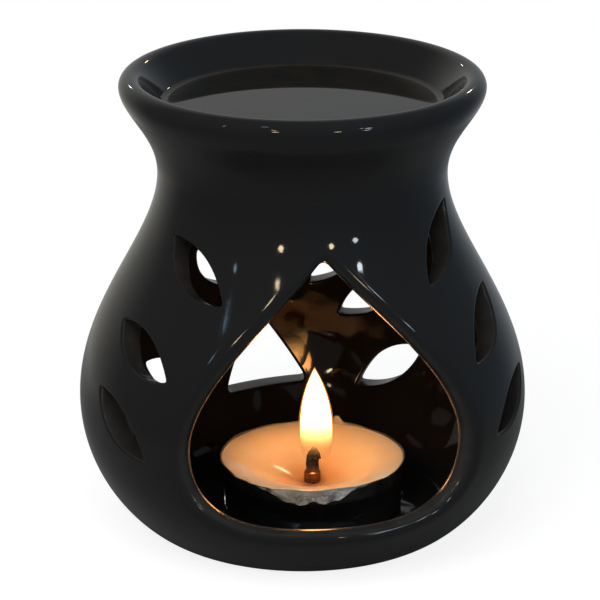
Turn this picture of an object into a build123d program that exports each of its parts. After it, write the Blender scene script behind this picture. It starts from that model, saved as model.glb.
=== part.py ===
from build123d import *
import os
from math import cos, hypot, radians, sin, tan

# Essential oil burner: a black glazed pot with a water and oil dish luted into its neck, and a tea light
# that stands on the pot's floor and is lifted over the sill and out through the arch.
# Millimetres. The origin is the centre of the foot, +Z is up and the arch faces -Y.

# Pot outside; the rim is a round that turns over, in degrees, into the dish
HEIGHT = 95.0
FOOT_RADIUS = 29.5
BELLY_RADIUS = 45.8
BELLY_LEVEL = 27.5
NECK_RADIUS = 29.2
NECK_DROP = 20.0
RIM_RADIUS = 36.7
RIM_ROUND = 2.4
RIM_TURN = 140.0

# How far each bend of the outside keeps its direction, as a part of its run
HEEL_EASE = 0.21
UNDER_BELLY_EASE = 0.62
OVER_BELLY_EASE = 0.41
UNDER_NECK_EASE = 0.30
OVER_NECK_EASE = 0.47
UNDER_RIM_EASE = 0.23

# Pot inside
WALL = 5.0
FLOOR = 3.5
FLOOR_INSET = 1.5

# Dish: a saucer on a ledge in the neck, with a run of its hollow above it in the pot's own lip
LEDGE_RISE = 1.0
LEDGE_WIDTH = 1.8
LUTE_GAP = 0.1
DISH_FLOOR = 3.5
DISH_FLOOR_RADIUS = 14.0
DISH_SLOPE_RUN = 8.0
DISH_FLOOR_EASE = 0.45

# Arch at the front: half its width as an angle round the axis, levels above the foot, the drop of its top
# below the neck, and the knife's lean at its top as rise for each millimetre outwards
ARCH_HALF_ANGLE = 39.5
ARCH_WIDE_LEVEL = 28.0
ARCH_SILL_LEVEL = 13.0
ARCH_TOP_DROP = 8.5
ARCH_TOP_LEAN = 0.45
ARCH_SILL_HALF_ANGLE = 10.0
ARCH_TOP_HALF_ANGLE = 53.7
ARCH_TOP_ROUND = 2.5
ARCH_SIDE_EASE = 0.32
ARCH_TOP_EASE = 13.1
ARCH_CORNER_EASE = 0.56
ARCH_SILL_EASE = 0.76

# Triangular vent at the back, cut by hand: a little off the true opposite of the arch, and tilted
VENT_AZIMUTH = 184.7
VENT_HALF_WIDTH = 10.6
VENT_SILL_LEVEL = 13.9
VENT_TOP_LEVEL = 30.6
VENT_TILT = -4.0
VENT_ROUND = 2.2

# Leaf cuts, placed by hand: the azimuth of each leaf's middle from the arch's, its place and its tilt.
# The place is a drop below the neck for the front leaves and a level above the foot for the back ones.
LEAF_LENGTH = 19.2
LEAF_WIDTH = 6.8
FRONT_LEAVES = [
    (-48.7, 13.2, -30.0),
    (-58.9, 29.5, -21.5),
    (-61.5, 44.6, -32.0),
    (51.8, 10.0, 41.0),
    (57.6, 26.8, 34.0),
    (61.3, 43.4, 26.5),
]
BACK_LEAVES = [
    (160.4, 44.0, -46.0),
    (150.5, 34.8, -32.0),
    (143.5, 19.6, -32.0),
    (200.8, 42.6, 37.0),
    (210.0, 31.2, 32.0),
    (216.5, 19.2, 32.0),
]

# Tea light: it stands a little off the axis
TEALIGHT_X = 1.5
TEALIGHT_Y = -4.2
CUP_RADIUS = 18.3
CUP_HEIGHT = 11.0
CUP_WALL = 0.3
CUP_CORNER = 1.2
CUP_BEAD = 0.5
WAX_FREEBOARD = 3.2
WAX_GAP = 0.05
SUSTAINER_RADIUS = 7.5
SUSTAINER_PLATE = 0.3
COLLAR_RADIUS = 1.7
COLLAR_HEIGHT = 7.6
WICK_RADIUS = 1.1
WICK_STAND = 2.8
WICK_BEND_RADIUS = 2.4
WICK_BEND_ANGLE = 50.0

# Working values
CUT_CLEAR = 8.0
CUT_NEAR = NECK_RADIUS - WALL - CUT_CLEAR
CUT_FAR = BELLY_RADIUS + CUT_CLEAR
LEAN_SPAN = 1.0
RIM_LEVEL = HEIGHT - RIM_ROUND
NECK_LEVEL = HEIGHT - NECK_DROP
ARCH_TOP_LEVEL = NECK_LEVEL - ARCH_TOP_DROP
LEDGE_LEVEL = NECK_LEVEL + LEDGE_RISE
DISH_FLOOR_LEVEL = LEDGE_LEVEL + DISH_FLOOR
CHAMBER_NECK_RADIUS = NECK_RADIUS - WALL
SEAT_RADIUS = CHAMBER_NECK_RADIUS + LEDGE_WIDTH
TEALIGHT_SEAT = Pos(TEALIGHT_X, TEALIGHT_Y, FLOOR)
RADIAL = Plane.XZ


def belly_curve(radius_cut, foot_radius, foot_level):
    """Edges from a foot circle up round the belly to the neck, set inwards by radius_cut."""
    belly = BELLY_RADIUS - radius_cut
    neck = NECK_RADIUS - radius_cut
    under = BELLY_LEVEL - foot_level
    over = NECK_LEVEL - BELLY_LEVEL
    lower = Bezier(
        (foot_radius, foot_level),
        (foot_radius + HEEL_EASE * (belly - foot_radius), foot_level),
        (belly, BELLY_LEVEL - UNDER_BELLY_EASE * under),
        (belly, BELLY_LEVEL),
    )
    upper = Bezier(
        (belly, BELLY_LEVEL),
        (belly, BELLY_LEVEL + OVER_BELLY_EASE * over),
        (neck, NECK_LEVEL - UNDER_NECK_EASE * over),
        (neck, NECK_LEVEL),
    )
    return [lower, upper]


def turned(edges):
    """Solid of revolution about Z from a closed half section drawn as radius and level."""
    return revolve(RADIAL * make_face(edges), Axis.Z)


def clay_blank():
    """Pot and dish together as one turned mass, with the hollow of the dish but no chamber."""
    flare = RIM_LEVEL - NECK_LEVEL
    rim_middle = Vector(RIM_RADIUS - RIM_ROUND, RIM_LEVEL)
    turned_over = Vector(cos(radians(RIM_TURN)), sin(radians(RIM_TURN)))
    slope = Vector(-turned_over.Y, turned_over.X)
    lip_end = rim_middle + turned_over * RIM_ROUND
    slope_end = lip_end + slope * DISH_SLOPE_RUN
    neck_to_rim = Bezier(
        (NECK_RADIUS, NECK_LEVEL),
        (NECK_RADIUS, NECK_LEVEL + OVER_NECK_EASE * flare),
        (RIM_RADIUS, RIM_LEVEL - UNDER_RIM_EASE * flare),
        (RIM_RADIUS, RIM_LEVEL),
    )
    lip = ThreePointArc((RIM_RADIUS, RIM_LEVEL), (RIM_RADIUS - RIM_ROUND, HEIGHT), lip_end)
    hollow = Bezier(
        lip_end,
        slope_end,
        (DISH_FLOOR_RADIUS + DISH_FLOOR_EASE * (lip_end.X - DISH_FLOOR_RADIUS), DISH_FLOOR_LEVEL),
        (DISH_FLOOR_RADIUS, DISH_FLOOR_LEVEL),
    )
    closing = Polyline(
        (DISH_FLOOR_RADIUS, DISH_FLOOR_LEVEL),
        (0, DISH_FLOOR_LEVEL),
        (0, 0),
        (FOOT_RADIUS, 0),
    )
    outside = belly_curve(0, FOOT_RADIUS, 0)
    return turned([*outside, neck_to_rim, lip, hollow, closing])


def chamber():
    """Hollow of the pot, from its floor to the ledge in the neck."""
    floor_radius = FOOT_RADIUS - FLOOR_INSET
    closing = Polyline(
        (CHAMBER_NECK_RADIUS, NECK_LEVEL),
        (CHAMBER_NECK_RADIUS, LEDGE_LEVEL),
        (0, LEDGE_LEVEL),
        (0, FLOOR),
        (floor_radius, FLOOR),
    )
    return turned([*belly_curve(WALL, floor_radius, FLOOR), closing])


def saucer_space(radius):
    """Upright cylinder from the ledge past the dish's hollow."""
    return Pos(0, 0, LEDGE_LEVEL) * extrude(Circle(radius), RIM_LEVEL - LEDGE_LEVEL)


def wall_radius(level):
    """Outside radius of the belly or shoulder at a level."""
    across = Line((0, level), (CUT_FAR, level))
    for curve in belly_curve(0, FOOT_RADIUS, 0):
        meeting = curve.intersect(across)
        if meeting:
            return meeting[0].center().X
    return BELLY_RADIUS


def square_lean(level):
    """Lean of a knife held square to the wall at a level."""
    below = wall_radius(level - LEAN_SPAN / 2)
    above = wall_radius(level + LEAN_SPAN / 2)
    return (below - above) / LEAN_SPAN


def arch_lean(level):
    """Lean of the knife round the arch: level up to its widest, then more and more to its top."""
    return max(0, ARCH_TOP_LEAN * (level - ARCH_WIDE_LEVEL) / (ARCH_TOP_LEVEL - ARCH_WIDE_LEVEL))


def wall_cut(curves, drawn_at, azimuth, lean):
    """Cutter that carries a closed outline through the wall along the knife's lines, which all meet the axis.

    The outline is drawn, as seen from outside, on an upright plane drawn_at from the axis. The function lean
    gives the knife's rise for each millimetre outwards, and the outline's levels hold at the wall's outside.
    """
    sections = []
    for distance in (CUT_NEAR, CUT_FAR):
        plane = Plane(origin=(0, -distance, 0), x_dir=(1, 0, 0), z_dir=(0, -1, 0))
        widen = distance / drawn_at
        edges = []
        for points in curves:
            carried = []
            for x, level in points:
                run = hypot(x * widen, distance) - wall_radius(level)
                carried.append((x * widen, level + run * lean(level)))
            edges.append(Bezier(*carried))
        sections.append(plane * make_face(edges))
    return Rot(0, 0, azimuth) * loft(sections, ruled=True)


def arch_cut():
    """Teardrop arch: flat sill, wide round corners, and leaning sides that meet in a rounded top."""
    wide = BELLY_RADIUS * tan(radians(ARCH_HALF_ANGLE))
    sill = BELLY_RADIUS * tan(radians(ARCH_SILL_HALF_ANGLE))
    lean = (sin(radians(ARCH_TOP_HALF_ANGLE)), cos(radians(ARCH_TOP_HALF_ANGLE)))
    side_rise = ARCH_TOP_LEVEL - ARCH_WIDE_LEVEL
    side_drop = ARCH_WIDE_LEVEL - ARCH_SILL_LEVEL
    shoulder = ARCH_TOP_ROUND + ARCH_TOP_EASE
    right_side = [
        (wide, ARCH_WIDE_LEVEL),
        (wide, ARCH_WIDE_LEVEL + ARCH_SIDE_EASE * side_rise),
        (shoulder * lean[0], ARCH_TOP_LEVEL - shoulder * lean[1]),
        (ARCH_TOP_ROUND * lean[0], ARCH_TOP_LEVEL - ARCH_TOP_ROUND * lean[1]),
    ]
    right_corner = [
        (sill, ARCH_SILL_LEVEL),
        (sill + ARCH_SILL_EASE * (wide - sill), ARCH_SILL_LEVEL),
        (wide, ARCH_WIDE_LEVEL - ARCH_CORNER_EASE * side_drop),
        (wide, ARCH_WIDE_LEVEL),
    ]
    left_side = [(-x, level) for x, level in reversed(right_side)]
    left_corner = [(-x, level) for x, level in reversed(right_corner)]
    top = [right_side[-1], (0, ARCH_TOP_LEVEL), left_side[0]]
    bottom = [left_corner[-1], right_corner[0]]
    outline = [right_corner, right_side, top, left_side, left_corner, bottom]
    return wall_cut(outline, BELLY_RADIUS, 0, arch_lean)


def vent_cut():
    """Triangular vent, tilted about its middle, with its three corners rounded."""
    middle = Vector(0, (2 * VENT_SILL_LEVEL + VENT_TOP_LEVEL) / 3)
    upright = [
        Vector(-VENT_HALF_WIDTH, VENT_SILL_LEVEL),
        Vector(VENT_HALF_WIDTH, VENT_SILL_LEVEL),
        Vector(0, VENT_TOP_LEVEL),
    ]
    corners = [middle + (corner - middle).rotate(Axis.Z, VENT_TILT) for corner in upright]
    curves = []
    for before, corner, after in zip(corners[-1:] + corners[:-1], corners, corners[1:] + corners[:1]):
        start = corner + (before - corner).normalized() * VENT_ROUND
        end = corner + (after - corner).normalized() * VENT_ROUND
        next_start = after + (corner - after).normalized() * VENT_ROUND
        curves.append([(point.X, point.Y) for point in (start, corner, end)])
        curves.append([(point.X, point.Y) for point in (end, next_start)])
    return wall_cut(curves, BELLY_RADIUS - WALL / 2, VENT_AZIMUTH, lambda _: 0)


def leaf_cut(azimuth, level, tilt, lean):
    """Leaf with two pointed tips, tilted in the wall, as drawn at the wall's outside there."""
    along = Vector(cos(radians(tilt)), sin(radians(tilt))) * (LEAF_LENGTH / 2)
    across = Vector(-sin(radians(tilt)), cos(radians(tilt))) * LEAF_WIDTH
    middle = Vector(0, level)
    upper = [middle + along, middle + across, middle - along]
    lower = [middle - along, middle - across, middle + along]
    curves = [[(point.X, point.Y) for point in side] for side in (upper, lower)]
    return wall_cut(curves, wall_radius(level), azimuth, lambda _: lean)


def leaf_cuts():
    """All the leaves: those beside the arch are cut square to the wall, and those beside the vent level."""
    cuts = []
    for azimuth, drop, tilt in FRONT_LEAVES:
        level = NECK_LEVEL - drop
        cuts.append(leaf_cut(azimuth, level, tilt, square_lean(level)))
    for azimuth, level, tilt in BACK_LEAVES:
        cuts.append(leaf_cut(azimuth, level, tilt, 0))
    return cuts


def pot():
    """Pot with its chamber, ledge and cut openings, on a flat foot."""
    body = clay_blank() - chamber() - saucer_space(SEAT_RADIUS)
    return body - [arch_cut(), vent_cut(), *leaf_cuts()]


def oil_dish():
    """Saucer that closes the neck: flat under, hollow above, luted on the ledge."""
    return clay_blank() & saucer_space(SEAT_RADIUS - LUTE_GAP)


def tealight_cup():
    """Pressed foil cup with a rounded corner and a rolled bead at its edge."""
    bead_level = CUP_HEIGHT - CUP_BEAD
    inner_corner = CUP_CORNER - CUP_WALL
    inside = CUP_RADIUS - CUP_WALL
    section = [
        Line((0, 0), (CUP_RADIUS - CUP_CORNER, 0)),
        RadiusArc((CUP_RADIUS - CUP_CORNER, 0), (CUP_RADIUS, CUP_CORNER), -CUP_CORNER),
        Line((CUP_RADIUS, CUP_CORNER), (CUP_RADIUS, bead_level)),
        Polyline((CUP_RADIUS, bead_level), (inside, bead_level), (inside, CUP_CORNER)),
        RadiusArc((inside, CUP_CORNER), (inside - inner_corner, CUP_WALL), inner_corner),
        Polyline((inside - inner_corner, CUP_WALL), (0, CUP_WALL), (0, 0)),
    ]
    bead = RADIAL * Pos(inside + CUP_BEAD, bead_level) * Circle(CUP_BEAD)
    return TEALIGHT_SEAT * (turned(section) + revolve(bead, Axis.Z))


def wick_sustainer():
    """Pressed steel plate with a collar that grips the wick."""
    plate = extrude(Circle(SUSTAINER_RADIUS), SUSTAINER_PLATE)
    collar = extrude(Circle(COLLAR_RADIUS), COLLAR_HEIGHT)
    bore = extrude(Circle(WICK_RADIUS), COLLAR_HEIGHT)
    return TEALIGHT_SEAT * Pos(0, 0, CUP_WALL) * (plate + collar - bore)


def wick():
    """Cotton wick, straight out of the collar and bent over at its burnt end."""
    upright = Line((0, 0), (0, COLLAR_HEIGHT + WICK_STAND))
    bend = JernArc(upright @ 1, upright % 1, WICK_BEND_RADIUS, -WICK_BEND_ANGLE)
    cord = sweep(Circle(WICK_RADIUS), RADIAL * (upright + bend))
    return TEALIGHT_SEAT * Pos(0, 0, CUP_WALL) * cord


def tealight_wax():
    """Wax in the cup, cast round the sustainer and the wick."""
    level = CUP_HEIGHT - WAX_FREEBOARD
    radius = CUP_RADIUS - CUP_WALL - WAX_GAP
    block = extrude(Circle(radius), level - CUP_WALL)
    lower_edge = block.edges().sort_by(Axis.Z)[0]
    block = fillet(lower_edge, CUP_CORNER - CUP_WALL)
    return TEALIGHT_SEAT * Pos(0, 0, CUP_WALL) * block - wick_sustainer() - wick()


PIECES = {
    "pot": pot,
    "oil_dish": oil_dish,
    "tealight_cup": tealight_cup,
    "tealight_wax": tealight_wax,
    "wick": wick,
    "wick_sustainer": wick_sustainer,
}

os.makedirs("parts", exist_ok=True)
for name, make in PIECES.items():
    export_step(make(), f"parts/{name}.step")
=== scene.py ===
import math

import bmesh
import bpy
import numpy as np
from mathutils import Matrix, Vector
from mathutils.geometry import delaunay_2d_cdt


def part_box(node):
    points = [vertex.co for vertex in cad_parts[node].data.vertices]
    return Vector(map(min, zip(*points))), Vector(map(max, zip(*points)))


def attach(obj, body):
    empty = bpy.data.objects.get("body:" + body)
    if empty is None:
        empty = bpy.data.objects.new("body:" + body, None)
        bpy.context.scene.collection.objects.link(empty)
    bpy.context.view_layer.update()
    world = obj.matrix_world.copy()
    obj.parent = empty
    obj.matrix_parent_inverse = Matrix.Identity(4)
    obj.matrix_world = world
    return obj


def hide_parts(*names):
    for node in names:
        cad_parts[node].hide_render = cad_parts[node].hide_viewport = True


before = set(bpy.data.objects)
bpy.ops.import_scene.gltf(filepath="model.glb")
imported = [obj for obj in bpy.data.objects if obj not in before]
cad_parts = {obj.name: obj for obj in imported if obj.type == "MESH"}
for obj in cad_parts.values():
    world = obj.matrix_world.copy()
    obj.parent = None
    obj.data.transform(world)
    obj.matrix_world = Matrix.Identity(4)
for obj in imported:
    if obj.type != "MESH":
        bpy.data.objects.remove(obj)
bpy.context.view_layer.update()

# Pot: slip-cast earthenware, a bellied jar with a rolled lip. The arch, the vent and the leaves are cut
# through the leather-hard wall by hand and their edges sponged round. The pot is dipped in a black gloss
# glaze, which is wiped off the flat of the foot.

POT_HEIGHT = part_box("pot")[1].z
FOOT_RADIUS = 0.0295
BELLY_RADIUS = 0.0458
BELLY_LEVEL = 0.0275
NECK_RADIUS = 0.0292
NECK_LEVEL = POT_HEIGHT - 0.020
RIM_RADIUS = 0.0367
RIM_ROUND = 0.0024
RIM_TURN = math.radians(140)
RIM_LEVEL = POT_HEIGHT - RIM_ROUND
HEEL_EASE = 0.21
UNDER_BELLY_EASE = 0.62
OVER_BELLY_EASE = 0.41
UNDER_NECK_EASE = 0.30
OVER_NECK_EASE = 0.47
UNDER_RIM_EASE = 0.23
WALL = 0.005
FLOOR_LEVEL = 0.0035
FLOOR_RADIUS = FOOT_RADIUS - 0.0015

LEDGE_LEVEL = NECK_LEVEL + 0.001
CHAMBER_NECK_RADIUS = NECK_RADIUS - WALL
SEAT_RADIUS = CHAMBER_NECK_RADIUS + 0.0018
DISH_FLOOR_LEVEL = LEDGE_LEVEL + 0.0035
DISH_FLOOR_RADIUS = 0.014
DISH_SLOPE_RUN = 0.008
DISH_FLOOR_EASE = 0.45

ARCH_HALF_ANGLE = math.radians(39.5)
ARCH_WIDE_LEVEL = 0.028
ARCH_SILL_LEVEL = 0.013
ARCH_TOP_LEVEL = NECK_LEVEL - 0.0085
ARCH_TOP_LEAN = 0.45
ARCH_SILL_HALF_ANGLE = math.radians(10)
ARCH_TOP_HALF_ANGLE = math.radians(53.7)
ARCH_TOP_ROUND = 0.0025
ARCH_SIDE_EASE = 0.32
ARCH_TOP_EASE = 0.0131
ARCH_CORNER_EASE = 0.56
ARCH_SILL_EASE = 0.76

VENT_AZIMUTH = math.radians(184.7)
VENT_HALF_WIDTH = 0.0106
VENT_SILL_LEVEL = 0.0139
VENT_TOP_LEVEL = 0.0306
VENT_TILT = math.radians(-4)
VENT_ROUND = 0.0022

LEAF_LENGTH = 0.0192
LEAF_WIDTH = 0.0068
LEAF_TIP = 0.4
FRONT_LEAVES = [
    (-48.7, NECK_LEVEL - 0.0132, -30.0),
    (-58.9, NECK_LEVEL - 0.0295, -21.5),
    (-61.5, NECK_LEVEL - 0.0446, -32.0),
    (51.8, NECK_LEVEL - 0.0100, 41.0),
    (57.6, NECK_LEVEL - 0.0268, 34.0),
    (61.3, NECK_LEVEL - 0.0434, 26.5),
]
BACK_LEAVES = [
    (160.4, 0.0440, -46.0),
    (150.5, 0.0348, -32.0),
    (143.5, 0.0196, -32.0),
    (200.8, 0.0426, 37.0),
    (210.0, 0.0312, 32.0),
    (216.5, 0.0192, 32.0),
]

ARCH_EDGE = 0.0029
ARCH_TOP_EDGE = 0.0015
ARCH_INNER_EDGE = 0.0019
LEAF_EDGE = 0.00065
LEAF_INNER_EDGE = 0.00058
EDGE_STEPS = 6
CUT_STEPS = 3
OUTER_RINGS = [1.3, 1.65]
ARCH_STEPS = 320
VENT_STEPS = 120
LEAF_STEPS = 112

WALL_LOW = 0.008
WALL_HIGH = NECK_LEVEL - 0.001
WALL_COLUMNS = 216
WALL_ROWS = 46
WALL_SEAM = math.radians(100)
GRID_CLEARANCE = 0.0006
PLAN_SCALE = 1000
PLAN_TOLERANCE = 1e-6
MERGE_DIGITS = 7


def bezier(corners, count):
    """Points along a Bezier curve: its control points weighted by the binomial terms of t and 1 - t."""
    corners = np.array(corners, float)
    order = len(corners) - 1
    power = np.arange(order + 1)
    t = np.linspace(0, 1, count)[:, None]
    terms = np.array([math.comb(order, k) for k in power])
    return (terms * t ** power * (1 - t) ** (order - power)) @ corners


def belly_section(inset, foot_radius, foot_level):
    """Half section from the foot to the neck, as radius and level: two cubics, upright where they meet."""
    belly = BELLY_RADIUS - inset
    neck = NECK_RADIUS - inset
    under = BELLY_LEVEL - foot_level
    over = NECK_LEVEL - BELLY_LEVEL
    lower = [
        (foot_radius, foot_level),
        (foot_radius + HEEL_EASE * (belly - foot_radius), foot_level),
        (belly, BELLY_LEVEL - UNDER_BELLY_EASE * under),
        (belly, BELLY_LEVEL),
    ]
    upper = [
        (belly, BELLY_LEVEL),
        (belly, BELLY_LEVEL + OVER_BELLY_EASE * over),
        (neck, NECK_LEVEL - UNDER_NECK_EASE * over),
        (neck, NECK_LEVEL),
    ]
    return np.concatenate([bezier(lower, count=300), bezier(upper, count=500)[1:]])


def section_radius(section, level):
    """Radius of a half section at each level, read between its close points."""
    return np.interp(level, section[:, 1], section[:, 0])


def arch_outline():
    """Closed outline of the arch as azimuth and level: flat sill, round corners, leaning sides, rounded top.

    It is drawn on an upright plane at the belly's radius and carried to the wall by lines through the axis.
    """
    wide = BELLY_RADIUS * math.tan(ARCH_HALF_ANGLE)
    sill = BELLY_RADIUS * math.tan(ARCH_SILL_HALF_ANGLE)
    lean = np.array([math.sin(ARCH_TOP_HALF_ANGLE), -math.cos(ARCH_TOP_HALF_ANGLE)])
    top = np.array([0, ARCH_TOP_LEVEL])
    corner = bezier([
        (sill, ARCH_SILL_LEVEL),
        (sill + ARCH_SILL_EASE * (wide - sill), ARCH_SILL_LEVEL),
        (wide, ARCH_WIDE_LEVEL - ARCH_CORNER_EASE * (ARCH_WIDE_LEVEL - ARCH_SILL_LEVEL)),
        (wide, ARCH_WIDE_LEVEL),
    ], count=80)
    side = bezier([
        (wide, ARCH_WIDE_LEVEL),
        (wide, ARCH_WIDE_LEVEL + ARCH_SIDE_EASE * (ARCH_TOP_LEVEL - ARCH_WIDE_LEVEL)),
        top + (ARCH_TOP_ROUND + ARCH_TOP_EASE) * lean,
        top + ARCH_TOP_ROUND * lean,
    ], count=160)
    mirror = np.array([-1, 1])
    crown = bezier([side[-1], top, side[-1] * mirror], count=40)
    half = np.concatenate([corner[:-1], side[:-1]])
    drawn = np.concatenate([half, crown, half[::-1] * mirror, corner[:1]])
    outline = np.stack([np.arctan2(drawn[:, 0], BELLY_RADIUS), drawn[:, 1]], axis=1)
    return evened(outline, BELLY_RADIUS, ARCH_STEPS)


def evened(outline, radius, count):
    """Closed outline with its points moved to even spacing along the wall."""
    steps = np.hypot(np.diff(outline[:, 0]) * radius, np.diff(outline[:, 1]))
    run = np.concatenate([[0], np.cumsum(steps)])
    marks = np.linspace(0, run[-1], count, endpoint=False)
    return np.stack([np.interp(marks, run, outline[:, 0]), np.interp(marks, run, outline[:, 1])], axis=1)


def vent_outline():
    """Closed outline of the vent as azimuth and level: a tilted triangle, its corners quadratic curves."""
    drawn_at = BELLY_RADIUS - WALL / 2
    corners = np.array([
        (-VENT_HALF_WIDTH, VENT_SILL_LEVEL), (VENT_HALF_WIDTH, VENT_SILL_LEVEL), (0, VENT_TOP_LEVEL),
    ])
    middle = corners.mean(axis=0)
    ahead = np.array([math.cos(VENT_TILT), math.sin(VENT_TILT)])
    corners = middle + (corners - middle) @ np.array([ahead, ahead[::-1] * (-1, 1)])
    before, after = np.roll(corners, 1, axis=0), np.roll(corners, -1, axis=0)
    start = corners + VENT_ROUND * (before - corners) / np.linalg.norm(before - corners, axis=1)[:, None]
    end = corners + VENT_ROUND * (after - corners) / np.linalg.norm(after - corners, axis=1)[:, None]
    rounds = [bezier(curve, count=30) for curve in zip(start, corners, end)]
    drawn = np.concatenate([*rounds, rounds[0][:1]])
    outline = np.stack([VENT_AZIMUTH + np.arctan2(drawn[:, 0], drawn_at), drawn[:, 1]], axis=1)
    return evened(outline, drawn_at, VENT_STEPS)


def leaf_outline(azimuth, level, tilt):
    """Closed outline of a leaf: along is cos a, across is sin a squared with its sign, eased at the tips."""
    azimuth, tilt = math.radians(azimuth), math.radians(tilt)
    a = np.linspace(0, 2 * math.pi, LEAF_STEPS, endpoint=False)
    swell = np.sin(a) * np.sqrt(np.sin(a) ** 2 + LEAF_TIP ** 2) / math.sqrt(1 + LEAF_TIP ** 2)
    along = LEAF_LENGTH / 2 * np.cos(a)
    across = LEAF_WIDTH / 2 * swell
    drawn_at = section_radius(outer_section, level)
    x = along * math.cos(tilt) - across * math.sin(tilt)
    rise = along * math.sin(tilt) + across * math.cos(tilt)
    return np.stack([azimuth + np.arctan2(x, drawn_at), level + rise], axis=1)


def square_lean(level):
    """Rise for each metre outwards of a knife held square to the wall's outside at a level."""
    span = 0.001
    below, above = section_radius(outer_section, np.array([level - span / 2, level + span / 2]))
    return (below - above) / span


def arch_lean(level):
    """Rise for each metre outwards of the knife round the arch: none up to its widest, then more and more."""
    return np.maximum(0, ARCH_TOP_LEAN * (level - ARCH_WIDE_LEVEL) / (ARCH_TOP_LEVEL - ARCH_WIDE_LEVEL))


def through_wall(outline, lean):
    """Outline on the chamber's wall: each point goes in along the knife's line until it meets that wall."""
    azimuth, level = outline.T
    run = np.linspace(0, 3 * WALL, 300)[:, None]
    clay = section_radius(outer_section, level) - run - section_radius(inner_section, level - lean * run)
    met = np.argmax(clay < 0, axis=0)
    column = np.arange(len(level))
    before, after = clay[met - 1, column], clay[met, column]
    run = run[met - 1, 0] + run[1, 0] * before / (before - after)
    return np.stack([azimuth, level - lean * run], axis=1)


def rings_round(outline, section, distances):
    """Rows of points round an opening: its outline moved out by each distance, square to it on the wall."""
    azimuth, level = outline.T
    radius = section_radius(section, level)
    probe = 1e-4
    slope = (section_radius(section, level + probe) - section_radius(section, level - probe)) / (2 * probe)
    stretch = np.sqrt(1 + slope ** 2)
    ahead, behind = np.roll(outline, -1, axis=0), np.roll(outline, 1, axis=0)
    run = np.stack([radius, stretch], axis=1) * (ahead - behind)
    out = np.stack([run[:, 1], -run[:, 0]], axis=1) / np.linalg.norm(run, axis=1)[:, None]
    return outline + distances[..., None] * out / np.stack([radius, stretch], axis=1)


def within(points, loop):
    """True for each point in a closed loop: a line to its right crosses the loop an odd number of times."""
    x, y = points[:, 0, None], points[:, 1, None]
    ax, ay = loop.T
    bx, by = np.roll(loop, -1, axis=0).T
    spans = (ay > y) != (by > y)
    crossing = ax + (y - ay) * (bx - ax) / np.where(by == ay, 1, by - ay)
    return (spans & (x < crossing)).sum(axis=1) % 2 == 1


def on_turn(azimuth, radius, level):
    """Points of a turned surface: azimuth from the front (-Y) towards +X, radius and level."""
    azimuth, radius, level = np.broadcast_arrays(azimuth, radius, level)
    return np.stack([radius * np.sin(azimuth), -radius * np.cos(azimuth), level], axis=-1)


def strip_faces(rows, columns, closed):
    """Four-sided faces of a grid of points in rows and columns; closed joins the last column to the first."""
    across = np.arange(columns if closed else columns - 1)
    up = np.arange(rows - 1)[:, None] * columns
    nearer, farther = up + across, up + (across + 1) % columns
    return np.stack([nearer, farther, farther + columns, nearer + columns], axis=-1).reshape(-1, 4)


def halves(quads):
    """Two triangles for each four-sided face."""
    return np.concatenate([quads[:, [0, 1, 2]], quads[:, [0, 2, 3]]])


def arch_edge(level):
    """Round of the arch's outer edge: full up its sides, then less and less towards the top."""
    share = np.clip((ARCH_TOP_LEVEL - level) / (ARCH_TOP_LEVEL - ARCH_WIDE_LEVEL), 0, 1)
    return ARCH_TOP_EDGE + (ARCH_EDGE - ARCH_TOP_EDGE) * np.minimum(1, 2 * share)


def knife_line(lean):
    """Unit steps of radius and level that go into the wall along the knife's line."""
    return np.stack([-np.ones_like(lean), -lean], axis=-1) / np.hypot(1, lean)[:, None]


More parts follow.
